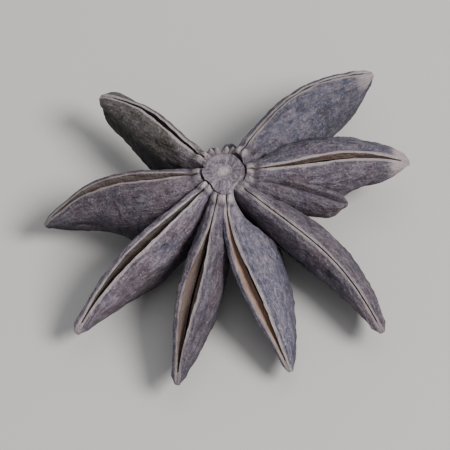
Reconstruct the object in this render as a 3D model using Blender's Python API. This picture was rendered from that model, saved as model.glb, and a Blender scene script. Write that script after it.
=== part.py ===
"""Star anise pod: one dried fruit, whose eight boat-shaped carpels stand round a short column.

Metres, +Z up. The pod lies on its keels with the seams of the carpels on top. The origin is the
middle of the stalk scar, the flat end of the stub under the column, which touches the ground
with the keels. Bearings are degrees from +X towards +Y.
"""

import math
from typing import NamedTuple

import bmesh
import bpy
from mathutils import Matrix, Vector

MM = 0.001

# The column that carries the carpels, from the stalk scar up to the round hub between the seams.
HUB_TOP = 7.3 * MM
HUB_RADIUS = 1.84 * MM
HUB_DOME = 0.28 * MM
STYLE_POINT_RADIUS = 0.42 * MM
COLUMN_WAIST_RADIUS = 1.75 * MM
STALK_FLARE_RADIUS = 2.5 * MM
STALK_FLARE_HEIGHT = 2.3 * MM
STALK_RADIUS = 1.25 * MM
COLUMN_SIDES = 28

# The groove that parts the hub from the inner ends of the carpels.
GROOVE_RADIUS = 1.92 * MM
GROOVE_WIDTH = 0.3 * MM
GROOVE_DEPTH = 0.5 * MM

# What all carpels share: where they start inside the column, their lips and their walls.
ROOT_RADIUS = 0.9 * MM
LIP_THICKNESS = 0.42 * MM
LIP_BEAD = 0.1 * MM
LIP_BEAD_HEIGHT = 0.45 * MM
WALL = 0.75 * MM
CLOSED_SEAM_WIDTH = 0.22 * MM
CLOSED_SEAM_DEPTH = 0.9 * MM
THROAT_DEPTH = 0.75 * MM  # the lips' inner faces slope in to a narrow throat above the chamber
THROAT_WIDTH = 0.09 * MM
BELLY_PLACE = 0.46
BEAK_ROUNDING = 0.1
NEIGHBOUR_HALF_ANGLE = math.radians(14)
OUTER_STATIONS = 15
HALF_GROWN_STATIONS = 8
OUTER_SIDE_POINTS = 8
HOLLOW_STATIONS = 12
HOLLOW_SIDE_POINTS = 4


class Carpel(NamedTuple):
    """One boat-shaped follicle. Its seam, the open upper edge, runs from the hub to the beak."""

    bearing: float  # degrees, from the column's axis to the beak's tip
    reach: float  # mm, from the column's axis to the beak's tip
    bow: float  # mm, how far the middle of the seam swings towards a larger bearing
    sway: float  # mm, how far the inner half swings so, and the outer half the other way
    hump: float  # mm, how far the seam arches up on its way
    droop: float  # mm, how far the beak's tip lies under the hub's top
    lean: float  # degrees, how far the keel swings towards a larger bearing
    twist: float  # degrees, what the lean gains by the beak
    half_width: float  # mm, at the belly
    depth: float  # mm, from the lips to the keel at the belly
    beak: float  # the beak's height as a share of the depth
    blunt: float  # 0 for a beak that narrows early, 1 for one that stays wide
    nose: float  # mm, half of the width of the blunt end of the lips
    gape: float  # mm, the widest opening between the lips; 0 is a shut seam
    opens: float  # where along the seam, from 0 to 1, the lips start to part
    gape_place: float  # where they gape most


CARPELS = (
    Carpel(139.6, 13.9, -0.44, 0.3, 0.25, 2.2, 20, 0, 1.55, 5.3, 0.55, 0.9, 1.0, 0.2, 0.0, 0.5),
    Carpel(191, 15.5, -0.9, 0.46, 0.8, 3.8, 19, 0, 2.35, 7.6, 0.2, 0.0, 0.38, 0.95, 0.02, 0.5),
    Carpel(226.6, 18.0, -0.1, 0.28, 0.78, 4.5, 3, 3, 1.75, 7.4, 0.18, 0.0, 0.55, 0.75, 0.0, 0.55),
    Carpel(258.1, 18.5, -0.15, 0.24, 0.55, 4.2, 6, 11, 1.8, 7.2, 0.18, 0.0, 0.5, 1.3, 0.2, 0.6),
    Carpel(288.9, 17.5, -1.3, -0.22, 0.5, 4.9, 36, 2, 1.65, 7.9, 0.22, 0.2, 0.4, 0.9, 0.15, 0.6),
    Carpel(315.8, 18.8, 0.77, -0.29, 0.25, 4.3, 16, 0, 1.82, 6.8, 0.25, 0.4, 0.58, 0.0, 0.0, 0.5),
    Carpel(6.9, 16.1, 0.12, -0.34, 0.65, 1.6, 18, -6, 2.8, 7.5, 0.22, 0.5, 0.7, 0.6, 0.12, 0.6),
    Carpel(40.6, 17.2, 1.6, -0.2, 0.8, 1.9, -25, 7, 2.15, 8.4, 0.48, 0.4, 0.5, 0.0, 0.0, 0.5),
)

# Half-grown carpels, all shut: a short one tucked under the right-hand carpel, and two stubs in
# the wide gap at the back of the pod.
HALF_GROWN = (
    Carpel(350.5, 10.8, 0.0, 0.0, 0.0, 2.2, 0, 0, 1.5, 4.4, 0.55, 1.0, 0.5, 0.0, 0.0, 0.5),
    Carpel(76, 3.4, 0.0, 0.0, 0.0, 0.9, 0, 0, 0.95, 4.6, 0.7, 1.0, 0.5, 0.0, 0.0, 0.5),
    Carpel(108, 3.2, 0.0, 0.0, 0.0, 1.1, 0, 0, 0.9, 4.4, 0.7, 1.0, 0.5, 0.0, 0.0, 0.5),
)


def smooth(x):
    """0 to 1 with flat ends."""
    x = min(max(x, 0.0), 1.0)
    return x * x * (3 - 2 * x)


def seam_point(carpel, along):
    """The seam's middle line, along it from 0 at its root to 1 at the beak's tip."""
    bearing = math.radians(carpel.bearing)
    outward = Vector((math.cos(bearing), math.sin(bearing), 0))
    sideways = Vector((-math.sin(bearing), math.cos(bearing), 0))
    radius = ROOT_RADIUS + (carpel.reach * MM - ROOT_RADIUS) * along
    swing = carpel.bow * math.sin(math.pi * along) + carpel.sway * math.sin(2 * math.pi * along)
    rise = carpel.hump * math.sin(math.pi * along**0.8) - carpel.droop * along**2.1
    return outward * radius + sideways * swing * MM + Vector((0, 0, HUB_TOP + rise * MM))


def seam_frame(carpel, along):
    """The section's place and its two directions: towards a larger bearing, and up to the lips."""
    step = 0.01
    ahead = seam_point(carpel, min(along + step, 1)) - seam_point(carpel, max(along - step, 0))
    ahead.normalize()
    across = Vector((0, 0, 1)).cross(ahead).normalized()
    lean = carpel.lean * smooth(along / 0.35) + carpel.twist * smooth((along - 0.4) / 0.5)
    turn = Matrix.Rotation(math.radians(lean), 3, ahead)
    return seam_point(carpel, along), turn @ across, turn @ ahead.cross(across)


def round_off(along):
    """Ends the beak in a quarter of an ellipse."""
    past = max(0.0, (along - (1 - BEAK_ROUNDING)) / BEAK_ROUNDING)
    return math.sqrt(max(0.0, 1 - past**2))


def nose_round(carpel, along):
    """Ends the lips in a quarter of a circle: 1 until the nose and 0 at the beak's tip."""
    past = min(max(1 - (1 - along) * carpel.reach / carpel.nose, 0.0), 1.0)
    return math.sqrt(1 - past**2)


def width_share(carpel, along):
    power = 1.1 - 0.8 * carpel.blunt * smooth(along)
    return math.sin(math.pi * (0.085 + 0.855 * along)) ** power * round_off(along)


def depth_at(carpel, along):
    """How deep the carpel is from its lips to its keel."""
    if along < BELLY_PLACE:
        share = 0.6 + 0.4 * math.sin(math.pi / 2 * along / BELLY_PLACE)
    else:
        body = math.cos(math.pi / 2 * ((along - BELLY_PLACE) / (1 - BELLY_PLACE)) ** 1.25)
        share = (carpel.beak + (1 - carpel.beak) * body) * (0.35 + 0.65 * round_off(along))
    return max(carpel.depth * share, 1.3 * carpel.nose * nose_round(carpel, along)) * MM


def half_gape(carpel, along):
    """Half of the opening between the lips."""
    if along < carpel.gape_place:
        share = smooth((along - carpel.opens) / (carpel.gape_place - carpel.opens))
    else:
        share = smooth((1 - along) / (1 - carpel.gape_place))
    return (CLOSED_SEAM_WIDTH + carpel.gape * MM * share) / 2


def lip_edge(carpel, along):
    """Half of the width over both lips."""
    full = half_gape(carpel, along) + LIP_THICKNESS
    at_nose = smooth((along - 0.75) / 0.2)
    return (full * (1 - at_nose) + carpel.nose * MM * at_nose) * nose_round(carpel, along)


def half_width_at(carpel, along, down):
    """Half of the carpel's width, a share down of the way from the lips to the keel."""
    lips = lip_edge(carpel, along)
    belly = carpel.half_width * MM * width_share(carpel, along)
    bead = LIP_BEAD * math.exp(-((down * depth_at(carpel, along) / LIP_BEAD_HEIGHT) ** 2))
    bulge = math.sin(math.pi * down**0.85) ** 0.8
    return (lips + bead) * (1 - down**3) + max(belly - lips, 0) * bulge


def outer_ring(carpel, along):
    """The carpel's closed outer section, from lip to keel and up to the other lip."""
    place, across, up = seam_frame(carpel, along)
    depth = depth_at(carpel, along)
    shares = [(1 - math.cos(math.pi * i / OUTER_SIDE_POINTS)) / 2 for i in range(OUTER_SIDE_POINTS)]
    side = [(half_width_at(carpel, along, share), -share * depth) for share in shares]
    outline = [(-x, y) for x, y in side] + [(0.0, -depth)] + side[::-1]
    return [place + across * x + up * y for x, y in outline]


def hollow_ring(carpel, along):
    """The section that is cut out: the gap between the lips, and the seed's chamber under it."""
    place, across, up = seam_frame(carpel, along)
    gape = half_gape(carpel, along)
    depth = depth_at(carpel, along)
    above = 0.8 * MM
    if not carpel.gape:
        outline = [(-gape, above), (-gape, 0.0), (0.0, -CLOSED_SEAM_DEPTH)]
        outline += [(gape, 0.0), (gape, above)]
        return [place + across * x + up * y for x, y in outline]
    radius = ROOT_RADIUS + (carpel.reach * MM - ROOT_RADIUS) * along
    between_neighbours = radius * math.tan(NEIGHBOUR_HALF_ANGLE) - WALL / 2
    floor = max(depth - WALL, 1.5 * THROAT_DEPTH)
    throat = min(gape, THROAT_WIDTH / 2 + 0.05 * gape)
    side = [(gape, above), (gape, 0.0), (throat, -THROAT_DEPTH)]
    for i in range(1, HOLLOW_SIDE_POINTS):
        part = i / HOLLOW_SIDE_POINTS
        down = THROAT_DEPTH + (floor - THROAT_DEPTH) * part
        room = min(half_width_at(carpel, along, down / depth) - WALL, between_neighbours)
        side.append((max(room * math.sqrt(1 - part**2), throat * (1 - part), 0.02 * MM), -down))
    outline = [(-x, y) for x, y in side] + [(0.0, -floor)] + side[::-1]
    return [place + across * x + up * y for x, y in outline]


def solid(name, points, faces):
    """A mesh object of triangles, so that the Booleans cut flat faces only."""
    shape = bmesh.new()
    verts = [shape.verts.new(point) for point in points]
    for face in faces:
        shape.faces.new([verts[i] for i in face])
    bmesh.ops.triangulate(shape, faces=shape.faces)
    mesh = bpy.data.meshes.new(name)
    shape.to_mesh(mesh)
    shape.free()
    return bpy.data.objects.new(name, mesh)


def loft(name, rings):
    """A closed solid through rings that all have the same number of points."""
    count = len(rings[0])
    points = [point for ring in rings for point in ring]
    faces = [tuple(reversed(range(count)))]
    for r in range(len(rings) - 1):
        for i in range(count):
            j = (i + 1) % count
            faces.append((r * count + i, r * count + j, (r + 1) * count + j, (r + 1) * count + i))
    faces.append(tuple(range((len(rings) - 1) * count, len(rings) * count)))
    return solid(name, points, faces)


def turned(name, profile, sides):
    """A solid of revolution about Z. The profile is (radius, height) pairs from bottom to top."""
    rings = []
    for radius, height in profile:
        turns = [2 * math.pi * i / sides for i in range(sides)]
        rings.append([(radius * math.cos(a), radius * math.sin(a), height) for a in turns])
    return loft(name, rings)


def helper(obj, collection):
    """A shape that only a Boolean uses."""
    collection.objects.link(obj)
    obj.hide_render = True
    obj.display_type = "WIRE"
    return obj


def carpel_body(name, carpel, collection, stations):
    """The carpel without its opening. The stations lie closer together towards the beak."""
    places = [math.sin(math.pi / 2 * i / stations) for i in range(stations)]
    places = [(place + i / stations) / 2 for i, place in enumerate(places)] + [0.987, 0.998]
    return helper(loft(name, [outer_ring(carpel, place) for place in places]), collection)


def carpel_hollow(name, carpel, collection):
    """The cutter for one seam. It stops short of the column's axis and of the beak's tip."""
    first, last = 0.09, 0.955
    places = [first + (last - first) * i / HOLLOW_STATIONS for i in range(HOLLOW_STATIONS + 1)]
    return helper(loft(name, [hollow_ring(carpel, place) for place in places]), collection)


def column():
    """The column with its hub on top and the stub of the stalk under it."""
    profile = [
        (STALK_RADIUS, -0.3 * MM),
        (STALK_RADIUS, 0.7 * MM),
        (STALK_RADIUS * 1.25, 1.5 * MM),
        (STALK_FLARE_RADIUS, STALK_FLARE_HEIGHT + 0.6 * MM),
        (STALK_FLARE_RADIUS, STALK_FLARE_HEIGHT + 1.4 * MM),
        (COLUMN_WAIST_RADIUS * 1.15, HUB_TOP - 1.6 * MM),
        (HUB_RADIUS, HUB_TOP - 0.5 * MM),
        (HUB_RADIUS * 0.97, HUB_TOP + 0.1 * MM),
        (HUB_RADIUS * 0.75, HUB_TOP + HUB_DOME),
        (STYLE_POINT_RADIUS * 1.5, HUB_TOP + HUB_DOME * 0.9),
        (STYLE_POINT_RADIUS, HUB_TOP + HUB_DOME * 1.7),
        (STYLE_POINT_RADIUS * 0.4, HUB_TOP + HUB_DOME * 2),
    ]
    return turned("pod", profile, COLUMN_SIDES)


def groove(collection):
    """A ring with a V section, sunk round the hub."""
    sides = COLUMN_SIDES
    rings = []
    for i in range(sides):
        a = 2 * math.pi * i / sides
        outline = [
            (GROOVE_RADIUS - GROOVE_WIDTH / 2, HUB_TOP + 1.5 * MM),
            (GROOVE_RADIUS - GROOVE_WIDTH / 2, HUB_TOP),
            (GROOVE_RADIUS, HUB_TOP - GROOVE_DEPTH),
            (GROOVE_RADIUS + GROOVE_WIDTH / 2, HUB_TOP),
            (GROOVE_RADIUS + GROOVE_WIDTH / 2, HUB_TOP + 1.5 * MM),
        ]
        rings.append([(r * math.cos(a), r * math.sin(a), z) for r, z in outline])
    count = len(rings[0])
    points = [point for ring in rings for point in ring]
    faces = []
    for r in range(sides):
        ahead = (r + 1) % sides
        for i in range(count):
            j = (i + 1) % count
            faces.append((r * count + i, ahead * count + i, ahead * count + j, r * count + j))
    return helper(solid("hub_groove", points, faces), collection)


def ground(collection):
    """The block under Z = 0 that leaves small flats on the keels and on the stalk scar."""
    half, down = 30 * MM, 5 * MM
    corners = [(-half, -half), (half, -half), (half, half), (-half, half)]
    rings = [[(x, y, z) for x, y in corners] for z in (-down, 0.0)]
    return helper(loft("ground", rings), collection)


def pod_material():
    """Dusty grey brown husk."""
    material = bpy.data.materials.new("husk")
    material.use_nodes = True
    shader = material.node_tree.nodes["Principled BSDF"]
    shader.inputs["Base Color"].default_value = (0.13, 0.115, 0.125, 1)
    shader.inputs["Roughness"].default_value = 0.75
    shader.inputs["Metallic"].default_value = 0.0
    return material


def join_with(pod, operation, collection, name):
    modifier = pod.modifiers.new(name, "BOOLEAN")
    modifier.operation = operation
    modifier.operand_type = "COLLECTION"
    modifier.collection = collection
    modifier.solver = "EXACT"


def main():
    for obj in list(bpy.data.objects):
        bpy.data.objects.remove(obj)
    scene = bpy.context.scene
    bodies = bpy.data.collections.new("carpel_bodies")
    hollows = bpy.data.collections.new("carpel_hollows")
    for collection in (bodies, hollows):
        scene.collection.children.link(collection)
    for i, carpel in enumerate(CARPELS, 1):
        carpel_body(f"carpel_{i}", carpel, bodies, OUTER_STATIONS)
        carpel_hollow(f"hollow_{i}", carpel, hollows)
    for i, carpel in enumerate(HALF_GROWN, 1):
        carpel_body(f"half_grown_{i}", carpel, bodies, HALF_GROWN_STATIONS)
    groove(hollows)
    ground(hollows)
    pod = column()
    scene.collection.objects.link(pod)
    pod.data.materials.append(pod_material())
    join_with(pod, "UNION", bodies, "Join carpels")
    join_with(pod, "DIFFERENCE", hollows, "Open seams")


main()
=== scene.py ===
"""A dried star anise pod on a pale table: fine relief over the frame's solid, and its husk."""

import math
from typing import NamedTuple

import bmesh
import bpy
import numpy as np
from mathutils import Matrix, Vector, noise


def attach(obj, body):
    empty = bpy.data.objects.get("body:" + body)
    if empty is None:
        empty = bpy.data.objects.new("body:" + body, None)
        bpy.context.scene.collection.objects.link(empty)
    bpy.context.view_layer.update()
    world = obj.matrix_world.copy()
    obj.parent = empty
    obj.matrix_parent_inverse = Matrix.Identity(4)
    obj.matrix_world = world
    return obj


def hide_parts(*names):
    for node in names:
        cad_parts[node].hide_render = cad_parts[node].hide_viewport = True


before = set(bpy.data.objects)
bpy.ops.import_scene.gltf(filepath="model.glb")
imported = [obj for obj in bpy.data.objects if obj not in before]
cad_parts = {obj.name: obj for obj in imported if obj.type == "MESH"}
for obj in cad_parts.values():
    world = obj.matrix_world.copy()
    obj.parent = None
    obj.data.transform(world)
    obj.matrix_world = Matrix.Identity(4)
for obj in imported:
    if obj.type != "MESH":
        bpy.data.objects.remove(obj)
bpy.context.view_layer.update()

MM = 0.001

# ---------------------------------------------------------------------------------------------
# The pod's form, in millimetres and degrees, as in its solid
# ---------------------------------------------------------------------------------------------

HUB_TOP = 7.3
HUB_RADIUS = 1.84
HUB_DOME = 0.12
STYLE_POINT_RADIUS = 0.5
COLUMN_WAIST_RADIUS = 1.75
STALK_FLARE_RADIUS = 2.5
STALK_FLARE_HEIGHT = 2.3
STALK_RADIUS = 1.25

GROOVE_RADIUS = 1.92
GROOVE_WIDTH = 0.3
GROOVE_DEPTH = 0.5

ROOT_RADIUS = 0.9
LIP_THICKNESS = 0.42
LIP_BEAD = 0.1
LIP_BEAD_HEIGHT = 0.45
WALL = 0.75
CLOSED_SEAM_WIDTH = 0.22
SEAM_LINE = 0.1  # what shows of a seam where it is shut
CLOSED_SEAM_DEPTH = 0.9
BELLY_PLACE = 0.46
BEAK_ROUNDING = 0.1
NEIGHBOUR_HALF_ANGLE = math.radians(14)
THROAT_DEPTH = 0.75  # the lips' inner faces slope in to a narrow throat above the chamber
THROAT_WIDTH = 0.09
HOLLOW_FROM = 0.09
HOLLOW_TO = 0.955


class Carpel(NamedTuple):
    """One boat-shaped follicle. Its seam, the open upper edge, runs from the hub to the beak."""

    bearing: float
    reach: float
    bow: float
    sway: float
    hump: float
    droop: float
    lean: float
    twist: float
    half_width: float
    depth: float
    beak: float
    blunt: float
    nose: float
    gape: float
    opens: float
    gape_place: float
    tone: float = 1.0  # how light its dusty skin is
    warmth: float = 0.0  # -1 for slate blue, 1 for brown
    wear: float = 0.0  # how far the beak is rubbed pale
    lips: float = 1.0  # how far the lips are rubbed pale; below 0 for a sunk crease with painted shade in it instead
    inner: float = 1.0  # how light the lips' inner faces are
    tan: float = 0.0  # how tan they are
    painted_shade: float = 0.3  # how dark its lower flanks are painted, as painted shade


CARPELS = (
    Carpel(139.6, 13.9, -0.44, 0.3, 0.25, 2.2, 20, 0, 1.55, 5.3, 0.55, 0.9, 1.0, 0.2, 0.0, 0.5, 0.98, 1.0, 0.2, 1.35, 0.35, 0.0, 1.7),
    Carpel(191, 15.5, -0.9, 0.46, 0.8, 3.8, 19, 0, 2.35, 7.6, 0.2, 0.0, 0.38, 0.75, 0.02, 0.5, 0.84, 0.15, 0.3, 1.0, 0.9, 0.15, 0.3),
    Carpel(226.6, 18.0, -0.1, 0.28, 0.78, 4.5, 3, 3, 1.75, 7.4, 0.18, 0.0, 0.55, 0.55, 0.0, 0.55, 1.2, 0.1, 0.4, 1.2, 0.7, 0.1, 0.6),
    Carpel(258.1, 18.5, -0.15, 0.24, 0.55, 4.2, 6, 11, 1.8, 7.2, 0.18, 0.0, 0.5, 1.05, 0.22, 0.6, 0.88, 0.1, 0.3, 0.75, 0.8, 0.5, 0.6),
    Carpel(288.9, 17.5, -1.3, -0.22, 0.5, 4.9, 36, 2, 1.65, 7.9, 0.22, 0.2, 0.4, 0.7, 0.15, 0.6, 1.25, -0.6, 0.2, 1.0, 1.35, 1.0, 0.2),
    Carpel(315.8, 18.8, 0.77, -0.29, 0.25, 4.3, 16, 0, 1.82, 6.8, 0.25, 0.4, 0.58, 0.0, 0.0, 0.5, 0.82, 0.1, 0.1, 0.8, 0.4, 0.0, 1.1),
    Carpel(6.9, 16.1, 0.12, -0.34, 0.65, 1.6, 18, -6, 2.8, 7.5, 0.22, 0.5, 0.7, 0.36, 0.12, 0.6, 0.88, -0.1, 2.1, 1.25, 1.4, 0.4, 0.3),
    Carpel(40.6, 17.2, 1.6, -0.2, 0.8, 1.9, -25, 7, 2.15, 8.4, 0.48, 0.4, 0.5, 0.0, 0.0, 0.5, 0.9, -0.6, 1.6, 1.0, 0.6, 0.0, 0.3),
)

HALF_GROWN = (
    Carpel(350.5, 10.8, 0.0, 0.0, 0.0, 2.2, 0, 0, 1.5, 4.4, 0.55, 1.0, 0.5, 0.0, 0.0, 0.5, 0.78, 0.25, 0.5, -1.0),
    Carpel(76, 3.4, 0.0, 0.0, 0.0, 0.9, 0, 0, 0.95, 4.6, 0.7, 1.0, 0.5, 0.0, 0.0, 0.5, 0.8, -0.2, 0.3, -0.6),
    Carpel(108, 3.2, 0.0, 0.0, 0.0, 1.1, 0, 0, 0.9, 4.4, 0.7, 1.0, 0.5, 0.0, 0.0, 0.5, 0.8, -0.2, 0.3, -0.6),
)

# How finely each surface is made.
STATIONS = 104
HALF_GROWN_STATIONS = 56
SIDE_POINTS = 27
LIP_POINTS = 5
HOLLOW_STATIONS = 90
HOLLOW_SIDE_POINTS = 12
HUB_SIDES = 144


def smooth(x):
    x = np.clip(x, 0.0, 1.0)
    return x * x * (3 - 2 * x)


def bell(x, middle, width):
    return np.exp(-(((x - middle) / width) ** 2))


def seam_line(carpel, along):
    """Points of the seam, from 0 at its root to 1 at the beak's tip."""
    bearing = math.radians(carpel.bearing)
    outward = np.array([math.cos(bearing), math.sin(bearing), 0.0])
    sideways = np.array([-math.sin(bearing), math.cos(bearing), 0.0])
    radius = ROOT_RADIUS + (carpel.reach - ROOT_RADIUS) * along
    swing = carpel.bow * np.sin(np.pi * along) + carpel.sway * np.sin(2 * np.pi * along)
    rise = carpel.hump * np.sin(np.pi * along**0.8) - carpel.droop * along**2.1
    points = np.outer(radius, outward) + np.outer(swing, sideways)
    points[:, 2] = HUB_TOP + rise
    return points


def seam_frames(carpel, along):
    """Each section's place, its direction across the seam and its direction up to the lips."""
    step = 0.01
    ahead = seam_line(carpel, np.minimum(along + step, 1)) - seam_line(carpel, np.maximum(along - step, 0))
    ahead /= np.linalg.norm(ahead, axis=1, keepdims=True)
    level = np.cross([0.0, 0.0, 1.0], ahead)
    level /= np.linalg.norm(level, axis=1, keepdims=True)
    above = np.cross(ahead, level)
    lean = np.radians(carpel.lean * smooth(along / 0.35) + carpel.twist * smooth((along - 0.4) / 0.5))[:, None]
    across = level * np.cos(lean) + above * np.sin(lean)
    up = above * np.cos(lean) - level * np.sin(lean)
    return seam_line(carpel, along), across, up


def round_off(along):
    past = np.maximum(0.0, (along - (1 - BEAK_ROUNDING)) / BEAK_ROUNDING)
    return np.sqrt(np.maximum(0.0, 1 - past**2))


def nose_round(carpel, along):
    """1 until the nose, and then down to 0 at the beak's tip in a quarter circle."""
    past = np.clip(1 - (1 - along) * carpel.reach / carpel.nose, 0.0, 1.0)
    return np.sqrt(1 - past**2)


def depth_at(carpel, along):
    rising = 0.6 + 0.4 * np.sin(np.pi / 2 * np.minimum(along / BELLY_PLACE, 1))
    past = np.clip((along - BELLY_PLACE) / (1 - BELLY_PLACE), 0, 1)
    body = np.cos(np.pi / 2 * past**1.25)
    falling = (carpel.beak + (1 - carpel.beak) * body) * (0.35 + 0.65 * round_off(along))
    depth = carpel.depth * np.where(along < BELLY_PLACE, rising, falling)
    return np.maximum(depth, 1.3 * carpel.nose * nose_round(carpel, along))


def half_gape(carpel, along):
    opening = smooth((along - carpel.opens) / (carpel.gape_place - carpel.opens))
    closing = smooth((1 - along) / (1 - carpel.gape_place))
    share = np.where(along < carpel.gape_place, opening, closing)
    widest = carpel.gape + (CLOSED_SEAM_WIDTH if carpel.gape else SEAM_LINE)
    return (SEAM_LINE + (widest - SEAM_LINE) * share) / 2


def lip_edge(carpel, along):
    """Half of the width over both lips."""
    full = half_gape(carpel, along) + LIP_THICKNESS
    at_nose = smooth((along - 0.75) / 0.2)
    return (full * (1 - at_nose) + carpel.nose * at_nose) * nose_round(carpel, along)


def half_width_at(carpel, along, down):
    """Half of the width, a share down of the way from the lips to the keel."""
    lips = lip_edge(carpel, along)
    power = 1.1 - 0.8 * carpel.blunt * smooth(along)
    share = np.sin(np.pi * (0.085 + 0.855 * along)) ** power * round_off(along)
    bead = LIP_BEAD * np.exp(-((down * depth_at(carpel, along) / LIP_BEAD_HEIGHT) ** 2))
    bulge = np.sin(np.pi * down**0.85) ** 0.8
    return (lips + bead) * (1 - down**3) + np.maximum(carpel.half_width * share - lips, 0) * bulge


# ---------------------------------------------------------------------------------------------
# Fine relief
# ---------------------------------------------------------------------------------------------


def rough(places, scale, seed):
    """Smooth noise, about -1 to 1, at places that are stretched by scale."""
    flat = places.reshape(-1, 3) / np.asarray(scale, float) + 17.3 * seed
    values = np.fromiter((noise.noise(p) for p in flat.tolist()), float, len(flat))
    return values.reshape(places.shape[:-1])


def skin_relief(along, girth, seed):
    """The husk's relief in mm at distances along the seam and round the section."""
    spots = np.stack([along, girth, np.full_like(along, 5.1 * seed)], axis=-1)
    spots[..., 0] += 1.1 * rough(spots, (2.4, 2.0, 1), 13)
    spots[..., 1] += 0.9 * rough(spots, (2.1, 1.7, 1), 1)
    lumps = rough(spots, (2.7, 1.9, 1), 2)
    ribs = 1 - 3.2 * np.abs(rough(spots, (3.4, 1.15, 1), 3))
    creases = np.maximum(0, 0.13 - np.abs(rough(spots, (3.2, 1.9, 1), 4))) / 0.13
    pits = rough(spots, (0.7, 0.55, 1), 5)
    return 0.14 * lumps + 0.06 * ribs - 0.1 * creases**2 + 0.07 * pits


# ---------------------------------------------------------------------------------------------
# Solids of the pod
# ---------------------------------------------------------------------------------------------

SKIN, CHAMBER, COLUMN = 0.0, 1.0, 2.0


class Surface:
    """A grid of points in mm, ring by ring, with what the husk's colours need at each point."""

    def __init__(self, points, place, **traits):
        self.points = points
        self.place = place
        self.traits = {name: np.broadcast_to(value, points.shape[:2]) for name, value in traits.items()}

    def solid(self, name, caps=(True, True)):
        """A closed mesh object: the rings joined up, and a flat cap at each end."""
        rings, count = self.points.shape[:2]
        grid = np.arange(rings * count).reshape(rings, count)
        here, ahead = grid[:-1], grid[1:]
        quads = np.stack([here, np.roll(here, -1, 1), np.roll(ahead, -1, 1), ahead], -1).reshape(-1, 4)
        faces = quads.tolist() + [grid[0][::-1].tolist(), grid[-1].tolist()]
        mesh = bpy.data.meshes.new(name)
        mesh.from_pydata((self.points.reshape(-1, 3) * MM).tolist(), [], faces)
        corners = np.empty(len(mesh.loops), np.int32)
        mesh.loops.foreach_get("vertex_index", corners)
        skin = mesh.attributes.new("skin", "FLOAT_VECTOR", "CORNER")
        skin.data.foreach_set("vector", self.place.reshape(-1, 3)[corners].astype(np.float32).ravel())
        for trait, values in self.traits.items():
            layer = mesh.attributes.new(trait, "FLOAT", "CORNER")
            layer.data.foreach_set("value", values.reshape(-1)[corners].astype(np.float32))
        return bpy.data.objects.new(name, mesh)


def crowded(stations, end):
    """Shares of the seam, closer together at the knobs by the hub and at the beak."""
    even = np.linspace(0, 1, 400)
    spacing = 1 - 0.6 * bell(even, 0.1, 0.1) - 0.72 * bell(even, 1.0, 0.1)
    travelled = np.concatenate([[0], np.cumsum((spacing[1:] + spacing[:-1]) / 2)])
    return np.interp(np.arange(stations + 1) / stations, travelled / travelled[-1], even) * end


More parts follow.
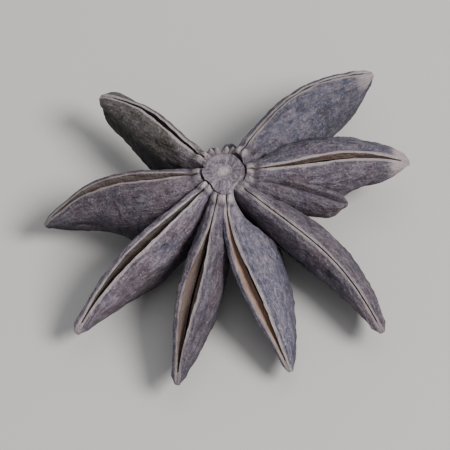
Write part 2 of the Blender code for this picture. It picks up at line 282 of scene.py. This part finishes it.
def outer_surface(carpel, stations, seed):
    """The carpel's skin, lips and rounded beak."""
    along = crowded(stations, 0.998)
    place, across, up = seam_frames(carpel, along)
    depth = depth_at(carpel, along)[:, None]
    a = along[:, None]
    gape = half_gape(carpel, a)
    edge = half_width_at(carpel, a, 0.0)
    out = ROOT_RADIUS + (carpel.reach - ROOT_RADIUS) * a

    down = (1 - np.cos(np.pi * (np.arange(SIDE_POINTS) + 0.35) / SIDE_POINTS)) / 2
    side_x = half_width_at(carpel, a, down[None, :])
    side_y = -down[None, :] * depth
    across_lip = np.linspace(0, 1, LIP_POINTS + 2)[None, :-1]
    lip_x = gape * 0.6 + (edge - gape * 0.6) * across_lip
    lip_y = 0.15 * np.sin(np.pi * (0.3 + 0.7 * across_lip) ** 0.9) - 0.04 + 0 * a
    half_x = np.concatenate([lip_x, side_x], 1)
    half_y = np.concatenate([lip_y, side_y], 1)
    x = np.concatenate([-half_x, np.zeros_like(a), half_x[:, ::-1]], 1)
    y = np.concatenate([half_y, -depth, half_y[:, ::-1]], 1)

    girth = np.cumsum(np.hypot(np.diff(x, axis=1, prepend=x[:, :1]), np.diff(y, axis=1, prepend=y[:, :1])), axis=1)
    girth -= girth[:, x.shape[1] // 2][:, None]
    girth *= 1.05 * carpel.depth / girth[:, -1:]
    reach = (carpel.reach * a) * np.ones_like(x)
    below = np.clip(-y / np.maximum(depth, 0.01), 0, 1)
    rim = np.exp(-((np.maximum(-y, 0) / 0.42) ** 2))
    from_slit = np.abs(x) - gape + 0.8 * np.maximum(-y, 0)
    line_width = 0.15 + 0.12 * rough(np.stack([reach, np.sign(x) * 2.0, np.full_like(x, seed)], -1), (1.7, 1, 1), 11)
    lip = np.exp(-((np.maximum(from_slit - 0.08, 0) / line_width) ** 2))

    points = place[:, None, :] + across[:, None, :] * x[..., None] + up[:, None, :] * y[..., None]
    normal = np.cross(np.gradient(points, axis=1), np.gradient(points, axis=0))
    normal /= np.maximum(np.linalg.norm(normal, axis=2, keepdims=True), 1e-9)
    relief = skin_relief(reach, girth, seed)
    ease = smooth((out - 1.6) / 1.5) * (1 - 0.75 * rim) * (0.25 + 0.75 * round_off(a))
    # Each lip ends at the hub in a knob, and its brim is wavy further out.
    aside = np.abs(x) - gape
    knob_place = 2.35 * hub_outline(math.radians(carpel.bearing)) + 0.25 * rough(np.stack([np.sign(x) * 4.0, 0 * x, np.full_like(x, seed)], -1), (1, 1, 1), 12)
    knob = bell(out, knob_place, 0.25) * bell(aside, 0.22, 0.22) * rim
    rubbed_knob = bell(out, knob_place, 0.42) * bell(aside, 0.2, 0.36) * rim**0.4
    neck = bell(out, knob_place + 0.6, 0.28) * rim
    brim = rough(np.stack([reach, np.sign(x) * 3.0, np.full_like(x, seed)], -1), (1.1, 1, 1), 6)
    crease = bell(x, 0, 0.2) * rim * max(0.0, -carpel.lips) * smooth((out - 1.8) / 1.5) * smooth((1 - a) / 0.08)
    points = points + normal * (relief * ease)[..., None] - up[:, None, :] * (0.3 * crease)[..., None]
    points = points + up[:, None, :] * (0.4 * knob - 0.14 * neck + 0.1 * rim * brim * smooth((out - 2.5) / 1.5))[..., None]

    # The beak closes in a few shrinking rings.
    middle = points[-1].mean(axis=0)
    ahead = np.cross(up[-1], -across[-1])
    tail = [middle + (points[-1] - middle) * math.cos(t) + ahead * 0.22 * math.sin(t) for t in (0.5, 0.95, 1.3)]
    points = np.concatenate([points, np.array(tail)])
    pad = lambda values: np.concatenate([values, np.repeat(values[-1:], len(tail), 0)])
    skin = pad(np.stack([reach, girth, np.full_like(x, seed)], -1))
    beak = smooth((a - 0.84) / 0.16) * (1 - smooth(below / 0.5))
    return Surface(
        points,
        skin,
        part=SKIN,
        rim=pad(np.maximum(lip * smooth((out - 2.6) / 1.5) * max(0.0, carpel.lips), 0.9 * rubbed_knob)),
        below=pad(below),
        # the relief: dust gathers on its ribs, and the husk paints shade in its hollows, the dip past each knob and
        # the crease
        furrow=pad(relief * ease / 0.12 - 1.3 * neck - 4 * crease),
        beak=pad(beak) * carpel.wear,
        tone=carpel.tone,
        warmth=carpel.warmth,
        # painted shade down the lower flanks, by the carpel's own amount
        painted_shade=pad(smooth((below - 0.16) / 0.4) * carpel.painted_shade),
        root=pad(1 - smooth((out - 2.2) / 3.2) * np.ones_like(x)),
    )


def hollow_surface(carpel, seed):
    """The cutter for one seam: the gap between the lips, and the seed's chamber under it."""
    along = np.linspace(HOLLOW_FROM, HOLLOW_TO, HOLLOW_STATIONS + 1)
    place, across, up = seam_frames(carpel, along)
    a = along[:, None]
    gape = half_gape(carpel, a)
    depth = depth_at(carpel, along)[:, None]
    radius = ROOT_RADIUS + (carpel.reach - ROOT_RADIUS) * a
    ones = np.ones_like(a)
    if carpel.gape:
        floor = np.maximum(depth - WALL, 1.5 * THROAT_DEPTH)
        between = radius * math.tan(NEIGHBOUR_HALF_ANGLE) - WALL / 2
        steps = np.arange(1, HOLLOW_SIDE_POINTS) / HOLLOW_SIDE_POINTS
        down = THROAT_DEPTH + (floor - THROAT_DEPTH) * steps
        room = np.minimum(half_width_at(carpel, a, down / depth) - WALL, between)
        taper = np.sqrt(1 - steps**2)
        throat = np.minimum(gape, THROAT_WIDTH / 2 + 0.05 * gape)
        chamber = np.maximum(np.maximum(room * taper, throat * (1 - steps)), 0.02)
        walls = [gape, gape, gape * 0.84 + throat * 0.16, gape * 0.5 + throat * 0.5, throat]
        side_x = np.concatenate([*walls, chamber], 1)
        falls = [0.9, 0.05, -0.25 * THROAT_DEPTH, -0.7 * THROAT_DEPTH, -THROAT_DEPTH]
        side_y = np.concatenate([*[fall * ones for fall in falls], -down], 1)
        x = np.concatenate([-side_x, 0 * ones, side_x[:, ::-1]], 1)
        y = np.concatenate([side_y, -floor, side_y[:, ::-1]], 1)
    else:
        x = np.concatenate([-gape, -gape, -0.5 * gape, 0 * ones, 0.5 * gape, gape, gape], 1)
        y = np.array([[0.9, 0.1, -0.5, -CLOSED_SEAM_DEPTH, -0.5, 0.1, 0.9]]) * ones
    reach = carpel.reach * a * np.ones_like(x)
    ragged = rough(np.stack([reach, np.sign(x) * 2.0, np.full_like(x, seed)], -1), (0.8, 1, 1), 7)
    x = x * (1 + (0.16 if carpel.gape else 0.3) * ragged)
    points = place[:, None, :] + across[:, None, :] * x[..., None] + up[:, None, :] * y[..., None]
    skin = np.stack([reach, y * np.ones_like(x), np.full_like(x, seed + 0.5)], -1)
    return Surface(
        points,
        skin,
        part=CHAMBER,
        rim=0.0,
        below=np.clip(-y / 2.4, 0, 1) * np.ones_like(x),
        furrow=0.0,
        beak=0.0,
        tone=carpel.inner,
        warmth=carpel.tan,
        painted_shade=0.0,
        root=0.0,
    )


def around(turn, bearing, spread):
    """1 at a bearing in degrees, and falling off to both sides."""
    return bell((turn - math.radians(bearing) + np.pi) % (2 * np.pi) - np.pi, 0, spread)


def hub_outline(turn):
    """The hub isn't round: it runs out to the front and is pinched beside that."""
    return 1 + 0.27 * around(turn, 274, 0.42) - 0.1 * around(turn, 222, 0.3) - 0.06 * around(turn, 170, 0.4)


def column_surface():
    """The column: the stub of the stalk, its flare, and the hub with its lobes and style point."""
    profile = [
        (STALK_RADIUS * 0.05, -0.3), (STALK_RADIUS, -0.3), (STALK_RADIUS, 0.25), (STALK_RADIUS, 0.7),
        (STALK_RADIUS * 1.1, 1.1), (STALK_RADIUS * 1.25, 1.5), (STALK_RADIUS * 1.6, 2.1),
        (STALK_FLARE_RADIUS, STALK_FLARE_HEIGHT + 0.6), (STALK_FLARE_RADIUS, STALK_FLARE_HEIGHT + 1.4),
        (COLUMN_WAIST_RADIUS * 1.15, HUB_TOP - 1.6), (HUB_RADIUS * 1.02, HUB_TOP - 0.9),
        (HUB_RADIUS, HUB_TOP - 0.5), (HUB_RADIUS * 0.99, HUB_TOP - 0.2), (HUB_RADIUS * 0.97, HUB_TOP + 0.05),
        (HUB_RADIUS * 0.93, HUB_TOP + 0.16), (HUB_RADIUS * 0.86, HUB_TOP + 0.24),
        (HUB_RADIUS * 0.78, HUB_TOP + HUB_DOME), (HUB_RADIUS * 0.7, HUB_TOP + HUB_DOME),
        (HUB_RADIUS * 0.62, HUB_TOP + HUB_DOME * 0.9), (HUB_RADIUS * 0.54, HUB_TOP + HUB_DOME * 0.72),
        (HUB_RADIUS * 0.46, HUB_TOP + HUB_DOME * 0.55), (HUB_RADIUS * 0.38, HUB_TOP + HUB_DOME * 0.55),
        (STYLE_POINT_RADIUS * 1.1, HUB_TOP + HUB_DOME * 0.8), (STYLE_POINT_RADIUS * 0.9, HUB_TOP + HUB_DOME * 1.3),
        (STYLE_POINT_RADIUS * 0.6, HUB_TOP + HUB_DOME * 1.75), (STYLE_POINT_RADIUS * 0.3, HUB_TOP + HUB_DOME * 1.95),
        (STYLE_POINT_RADIUS * 0.05, HUB_TOP + HUB_DOME * 2),
    ]
    radius, height = (np.array(column)[:, None] for column in zip(*profile))
    turn = 2 * np.pi * np.arange(HUB_SIDES)[None, :] / HUB_SIDES
    top = smooth((height - HUB_TOP + 0.1) / 0.2)
    bearings = [math.radians(c.bearing) for c in CARPELS + HALF_GROWN]
    lobe = sum(bell((turn - b + np.pi) % (2 * np.pi) - np.pi, 0, 0.2) for b in bearings)
    ring = bell(radius, HUB_RADIUS * 0.76, 0.4)
    radius = radius * (1 + (hub_outline(turn) - 1) * smooth((height - HUB_TOP + 1.2) / 0.8))
    height = height + top * ring * 0.13 * (np.minimum(lobe, 1) - 0.6)
    radius = radius * (1 + 0.05 * top * ring * (lobe - 0.5))
    long_point = 1 + 0.3 * np.cos(2 * (turn - 0.4)) * bell(radius, 0, 0.5)
    points = np.stack([radius * long_point * np.cos(turn), radius * long_point * np.sin(turn), height], -1)
    grit = rough(points, (0.62, 0.62, 0.9), 8) * 0.09 + rough(points, (0.24, 0.24, 0.4), 9) * 0.05
    points[..., 2] += grit * top
    points[..., :2] *= (1 + 0.3 * grit * (1 - top))[..., None]
    stretch = radius / HUB_RADIUS
    return Surface(
        points,
        points * (1.6, 0.5, 1.0),
        part=COLUMN,
        rim=top * (0.16 + 0.2 * bell(stretch, 0.9, 0.12) + 1.9 * bell(stretch, 0.0, 0.17)),
        below=np.clip((HUB_TOP - height) / 7, 0, 1),
        # low in the grit's hollows and between the lobes, where the husk paints shade
        furrow=grit / 0.07 + top * ring * (lobe - 0.55) * 0.9,
        beak=0.0,
        tone=0.9 + 0.22 * top,
        warmth=0.5,
        painted_shade=0.0,
        root=1.0,
    )


def groove_surface():
    """A ring with a V section, sunk round the hub between the knobs."""
    turn = 2 * np.pi * np.arange(HUB_SIDES)[:, None] / HUB_SIDES
    half = GROOVE_WIDTH / 2
    offset = np.array([[-half, -half, 0.0, half, half]])
    height = np.array([[1.5, 0.1, -GROOVE_DEPTH, 0.1, 1.5]])
    wobble = rough(np.stack([1.4 * np.cos(turn), 1.4 * np.sin(turn), 0 * turn], -1), (1, 1, 1), 10)
    near = lambda bearing, spread: around(turn, bearing, spread)
    sunk = 1.1 * near(42, 0.42) + 0.8 * near(222, 0.45) + 0.7 * near(-20, 0.16) + 0.6 * near(160, 0.13)
    sunk = np.minimum(sunk + 0.25 * near(250, 0.2) + 0.25 * near(110, 0.3), 1.15)
    radius = GROOVE_RADIUS * hub_outline(turn) + offset * (0.5 + 0.5 * sunk + 0.5 * wobble) + 0.1 * wobble
    height = np.where(height < 0, 0.25 - (0.25 + GROOVE_DEPTH) * sunk, height + 0.3)
    points = np.stack([radius * np.cos(turn), radius * np.sin(turn), HUB_TOP + height + 0 * turn], -1)
    # A furrow of -1 gives the sunk groove painted shade.
    return Surface(points, points.copy(), part=COLUMN, rim=0.0, below=0.1, furrow=-1.0, beak=0.0, tone=0.8, warmth=0.3, painted_shade=0.0, root=1.0)


def closed_ring(surface, name):
    """As Surface.solid, but the last ring meets the first, which leaves no ends to cap."""
    surface.points = surface.points[:, ::-1]
    surface.place = surface.place[:, ::-1]
    rings, count = surface.points.shape[:2]
    again = Surface(np.concatenate([surface.points, surface.points[:1]]), np.concatenate([surface.place, surface.place[:1]]))
    again.traits = {k: np.concatenate([v[:, ::-1], v[:1, ::-1]]) for k, v in surface.traits.items()}
    obj = again.solid(name)
    shape = bmesh.new()
    shape.from_mesh(obj.data)
    ends = [f for f in shape.faces if len(f.verts) == count]
    bmesh.ops.delete(shape, geom=ends, context="FACES_ONLY")
    bmesh.ops.remove_doubles(shape, verts=shape.verts, dist=1e-7)
    shape.to_mesh(obj.data)
    shape.free()
    return obj


def ground_block():
    """What lies under the table's surface is cut away, which leaves small flats on the keels."""
    corners = np.array([(-30, -30), (30, -30), (30, 30), (-30, 30)], float)
    points = np.array([[(x, y, z) for x, y in corners] for z in (-5.0, 0.0)])
    # The flats it leaves on the keels take painted shade.
    return Surface(points, points.copy(), part=SKIN, rim=0.0, below=1.0, furrow=-0.5, beak=0.0, tone=0.9, warmth=0.5, painted_shade=0.5, root=0.0).solid("ground")


def cut_and_join(start, joined, removed):
    """One closed mesh: start with the joined solids, less the removed ones."""
    for name, operation, solids in (("join", "UNION", joined), ("open", "DIFFERENCE", removed)):
        group = bpy.data.collections.new(name)
        bpy.context.scene.collection.children.link(group)
        for solid in solids:
            group.objects.link(solid)
        modifier = start.modifiers.new(name, "BOOLEAN")
        modifier.operation = operation
        modifier.operand_type = "COLLECTION"
        modifier.collection = group
        modifier.solver = "MANIFOLD"
    bpy.context.view_layer.update()
    mesh = bpy.data.meshes.new_from_object(start.evaluated_get(bpy.context.evaluated_depsgraph_get()))
    for solid in [start, *joined, *removed]:
        bpy.data.objects.remove(solid)
    for group in [c for c in bpy.data.collections if c.name in ("join", "open")]:
        bpy.data.collections.remove(group)
    return mesh


def make_pod():
    bodies = [outer_surface(c, STATIONS, i).solid(f"carpel_{i}") for i, c in enumerate(CARPELS, 1)]
    bodies += [
        outer_surface(c, HALF_GROWN_STATIONS, i).solid(f"half_grown_{i}") for i, c in enumerate(HALF_GROWN, 11)
    ]
    hollows = [hollow_surface(c, i).solid(f"hollow_{i}") for i, c in enumerate(CARPELS, 1)]
    hollows += [closed_ring(groove_surface(), "hub_groove"), ground_block()]
    column = column_surface().solid("column")
    bpy.context.scene.collection.objects.link(column)
    mesh = cut_and_join(column, bodies, hollows)
    mesh.name = "star_anise_pod"
    pod = bpy.data.objects.new("star_anise_pod", mesh)
    bpy.context.scene.collection.objects.link(pod)
    mesh.shade_smooth()
    mesh.set_sharp_from_angle(angle=math.radians(48))
    return pod


# ---------------------------------------------------------------------------------------------
# Shader maths
# ---------------------------------------------------------------------------------------------


class Wire:
    """A shader socket that takes part in sums: Wire * 2 and 1 - Wire add Math nodes."""

    def __init__(self, finish, socket):
        self.finish = finish
        self.socket = socket

    def _math(self, operation, *values):
        return self.finish.node("ShaderNodeMath", {"operation": operation}, dict(enumerate(values)))

    def __add__(self, other):
        return self._math("ADD", self, other)

    __radd__ = __add__

    def __sub__(self, other):
        return self._math("SUBTRACT", self, other)

    def __rsub__(self, other):
        return self._math("SUBTRACT", other, self)

    def __mul__(self, other):
        return self._math("MULTIPLY", self, other)

    __rmul__ = __mul__

    def __pow__(self, other):
        return self._math("POWER", self, other)

    def __gt__(self, other):
        return self._math("GREATER_THAN", self, other)

    def clamp(self, low=0.0, high=1.0):
        return self._math("MINIMUM", self._math("MAXIMUM", self, low), high)

    def ramp(self, low, high):
        """0 below low, 1 above high and a smooth rise between."""
        return self.finish.node(
            "ShaderNodeMapRange", {"interpolation_type": "SMOOTHSTEP"}, {0: self, 1: low, 2: high, 3: 0.0, 4: 1.0}
        )


class Finish:
    """One material, built node by node."""

    def __init__(self, name):
        self.material = bpy.data.materials.new(name)
        self.material.use_nodes = True
        self.tree = self.material.node_tree
        self.shader = self.tree.nodes["Principled BSDF"]

    def node(self, kind, settings=None, sockets=None, output=0):
        """Adds a node: its settings first, then a value or a Wire for each socket."""
        made = self.tree.nodes.new(kind)
        for name, value in (settings or {}).items():
            if name == "stops":
                for i, (place, colour) in enumerate(value):
                    stop = made.color_ramp.elements[i] if i < 2 else made.color_ramp.elements.new(place)
                    stop.position = place
                    stop.color = (*colour, 1)
            else:
                setattr(made, name, value)
        for key, value in (sockets or {}).items():
            self.feed(made.inputs[key], value)
        return Wire(self, made.outputs[output])

    def feed(self, socket, value):
        if isinstance(value, Wire):
            self.tree.links.new(value.socket, socket)
        elif socket.type == "RGBA" and len(value) == 3:
            socket.default_value = (*value, 1)
        else:
            socket.default_value = value

    def trait(self, name, output="Fac"):
        return self.node("ShaderNodeAttribute", {"attribute_name": name}, output=output)

    def blend(self, share, a, b, mode="MIX"):
        """Colour a, with b over it by share."""
        settings = {"data_type": "RGBA", "blend_type": mode, "clamp_factor": True}
        return self.node("ShaderNodeMix", settings, {0: share, 6: a, 7: b}, output=2)

    def stretch(self, vector, scale):
        return self.node("ShaderNodeVectorMath", {"operation": "MULTIPLY"}, {0: vector, 1: scale})

    def speckle(self, vector, scale, detail=3.0, roughness=0.55, distortion=0.0):
        """Noise from 0 to 1, mostly near its middle."""
        return self.node(
            "ShaderNodeTexNoise",
            None,
            {"Vector": vector, "Scale": scale, "Detail": detail, "Roughness": roughness, "Distortion": distortion},
        )

    def cracks(self, vector, scale):
        return self.node(
            "ShaderNodeTexVoronoi", {"feature": "DISTANCE_TO_EDGE"}, {"Vector": vector, "Scale": scale}
        )


def husk():
    """Dry, dusty husk: slate skin, pale lips, brown chambers and a tan stalk scar."""
    f = Finish("husk")
    skin = f.trait("skin", "Vector")
    place = f.node("ShaderNodeTexCoord", output="Object")
    part = f.trait("part")
    rim = f.trait("rim")
    below = f.trait("below")
    furrow = f.trait("furrow")
    beak = f.trait("beak")
    tone = f.trait("tone")
    warmth = f.trait("warmth")
    painted_shade = f.trait("painted_shade")
    root = f.trait("root")

    streaks = f.speckle(f.stretch(skin, (0.5, 1.5, 5.0)), 1.0, 4.0, 0.6, 0.6)
    threads = f.speckle(f.stretch(skin, (1.3, 4.2, 5.0)), 1.0, 3.0, 0.62, 0.5)
    patches = f.speckle(place, 380.0, 3.0, 0.55)
    dust = f.speckle(place, 1500.0, 4.0, 0.65)
    grains = f.speckle(place, 5200.0, 2.0, 0.6)

    # The skin, from slate blue through plum grey to brown.
    bluish = (0.090, 0.092, 0.136)
    plum = (0.128, 0.087, 0.112)
    brown = (0.118, 0.103, 0.088)
    colour = f.blend((patches + 0.45 * warmth).ramp(0.25, 0.75), bluish, plum)
    colour = f.blend((patches * 0.4 + streaks * 0.6 + 0.3 * warmth).ramp(0.5, 0.85) * 0.8, colour, brown)
    colour = f.blend(warmth.ramp(0.6, 1.0) * 0.65, colour, (0.100, 0.098, 0.070))
    # Dust greys it, most on the ribs.
    pale = (0.252, 0.214, 0.255)
    dusty = (streaks * 0.45 + dust * 0.55 + furrow * 0.07 + root * 0.14 - below * 0.12).ramp(0.38, 0.66)
    colour = f.blend(dusty * (0.8 - 0.35 * warmth.ramp(0.6, 1.0)), colour, pale)
    colour = f.blend(root * dust.ramp(0.3, 0.6) * 0.55, colour, (0.315, 0.262, 0.31))
    colour = f.blend(threads.ramp(0.53, 0.7) * 0.5, colour, (0.39, 0.34, 0.37))
    colour = f.blend(grains.ramp(0.56, 0.74) * 0.6, colour, (0.47, 0.41, 0.45))
    # Painted shade: the furrows, hollows and creases are darkened.
    colour = f.blend((0 - furrow).ramp(0.2, 1.3) * 0.55, colour, (0.035, 0.027, 0.032))
    # Painted shade down the lower flanks.
    colour = f.blend(below.ramp(0.45, 0.95) * 0.5, colour, (0.05, 0.04, 0.042))
    # Painted shade on each carpel's lower flanks, by its own amount.
    colour = f.blend((painted_shade * 0.75).clamp(0, 0.9), colour, (0.022, 0.020, 0.024))
    # Dark fibres and grains.
    colour = f.blend(threads.ramp(0.47, 0.3) * 0.6, colour, (0.040, 0.030, 0.040))
    colour = f.blend(grains.ramp(0.44, 0.28) * 0.55, colour, (0.040, 0.030, 0.040))
    # Rubbed lips, knobs and beaks.
    edge = (rim * (0.35 + 0.75 * streaks + 0.5 * dust)).clamp()
    colour = f.blend(edge.ramp(0.14, 0.8) * 0.88, colour, (0.49, 0.42, 0.42))
    worn = beak * (0.25 + 0.8 * dust + 0.4 * streaks)
    colour = f.blend(worn.ramp(0.15, 1.2) * 0.85, colour, (0.60, 0.50, 0.50))
    toned = f.blend(1.0, colour, f.node("ShaderNodeCombineColor", None, {0: tone, 1: tone, 2: tone}), "MULTIPLY")

    # The chambers, brown with tan fibres, with painted shade that darkens them the deeper they go.
    fibres = f.speckle(f.stretch(skin, (0.8, 5.0, 1.0)), 1.0, 3.0, 0.6, 0.2)
    inner = f.blend(fibres.ramp(0.35, 0.65), (0.125, 0.105, 0.106), (0.215, 0.185, 0.18))
    inner = f.blend(warmth.clamp(), inner, (0.33, 0.215, 0.165))
    inner = f.blend(below.ramp(0.03, 0.2) * (0.9 - 0.75 * warmth), inner, (0.125, 0.078, 0.068))
    inner = f.blend(below.ramp(0.4, 0.9) * 0.92, inner, (0.03, 0.016, 0.012))
    inner = f.blend(1.0, inner, f.node("ShaderNodeCombineColor", None, {0: tone, 1: tone, 2: tone}), "MULTIPLY")
    # The column's underside, tan where the stalk broke off.
    wood = f.blend(dust.ramp(0.35, 0.65), (0.20, 0.125, 0.075), (0.34, 0.23, 0.15))
    inside = (1 - (part - 1) * (part - 1)).clamp()
    scar = (part > 1.5) * below.ramp(0.72, 0.92)

    colour = f.blend(inside, toned, inner)
    colour = f.blend(scar, colour, wood)

    rough_skin = 0.86 - 0.16 * streaks - 0.12 * edge - 0.2 * inside
    height = streaks * 0.7 + threads * 0.45 + dust * 0.6 + grains * 0.3
    bump = f.node("ShaderNodeBump", None, {"Strength": 0.85, "Distance": 0.0004, "Height": height})
    f.feed(f.shader.inputs["Base Color"], colour)
    f.feed(f.shader.inputs["Roughness"], rough_skin)
    f.feed(f.shader.inputs["Normal"], bump)
    f.shader.inputs["Specular IOR Level"].default_value = 0.35
    return f.material


def table_top():
    f = Finish("table_top")
    f.shader.inputs["Base Color"].default_value = (0.72, 0.70, 0.67, 1)
    f.shader.inputs["Roughness"].default_value = 0.9
    return f.material


# ---------------------------------------------------------------------------------------------
# The set
# ---------------------------------------------------------------------------------------------


def add_floor():
    mesh = bpy.data.meshes.new("table")
    half = 0.6
    mesh.from_pydata([(-half, -half, 0), (half, -half, 0), (half, half, 0), (-half, half, 0)], [], [(0, 1, 2, 3)])
    mesh.materials.append(table_top())
    table = bpy.data.objects.new("table", mesh)
    table.location.z = -0.00003
    bpy.context.scene.collection.objects.link(table)


def add_light(name, size, energy, bearing, elevation, distance, colour=(1, 1, 1)):
    lamp = bpy.data.lights.new(name, "AREA")
    lamp.shape = "DISK"
    lamp.size = size
    lamp.energy = energy
    lamp.color = colour
    obj = bpy.data.objects.new(name, lamp)
    b, e = math.radians(bearing), math.radians(elevation)
    spot = Vector((math.cos(b) * math.cos(e), math.sin(b) * math.cos(e), math.sin(e))) * distance
    obj.location = spot
    obj.rotation_euler = spot.to_track_quat("Z", "Y").to_euler()
    bpy.context.scene.collection.objects.link(obj)


def add_lights():
    add_light("window", 0.2, 1.9, -18, 50, 0.45, (1.0, 0.98, 0.96))
    add_light("ceiling", 0.5, 0.5, 70, 76, 0.6, (0.95, 0.97, 1.0))
    world = bpy.data.worlds.new("room")
    world.use_nodes = True
    background = world.node_tree.nodes["Background"]
    background.inputs["Color"].default_value = (0.93, 0.95, 1.0, 1)
    background.inputs["Strength"].default_value = 0.3
    bpy.context.scene.world = world


def add_camera():
    camera = bpy.data.cameras.new("camera")
    camera.lens = 280
    camera.sensor_width = 36
    camera.clip_start = 0.005
    camera.clip_end = 5
    obj = bpy.data.objects.new("camera", camera)
    elevation = math.radians(60)
    towards = Vector((0, -math.cos(elevation), math.sin(elevation)))
    middle = Vector((0.0002, -0.0033, 0.004))
    obj.location = middle + towards * 0.3
    obj.rotation_euler = towards.to_track_quat("Z", "Y").to_euler()
    bpy.context.scene.collection.objects.link(obj)
    bpy.context.scene.camera = obj


add_camera()
add_floor()
add_lights()
pod = make_pod()
pod.data.materials.clear()
pod.data.materials.append(husk())
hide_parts("pod")
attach(pod, "root")
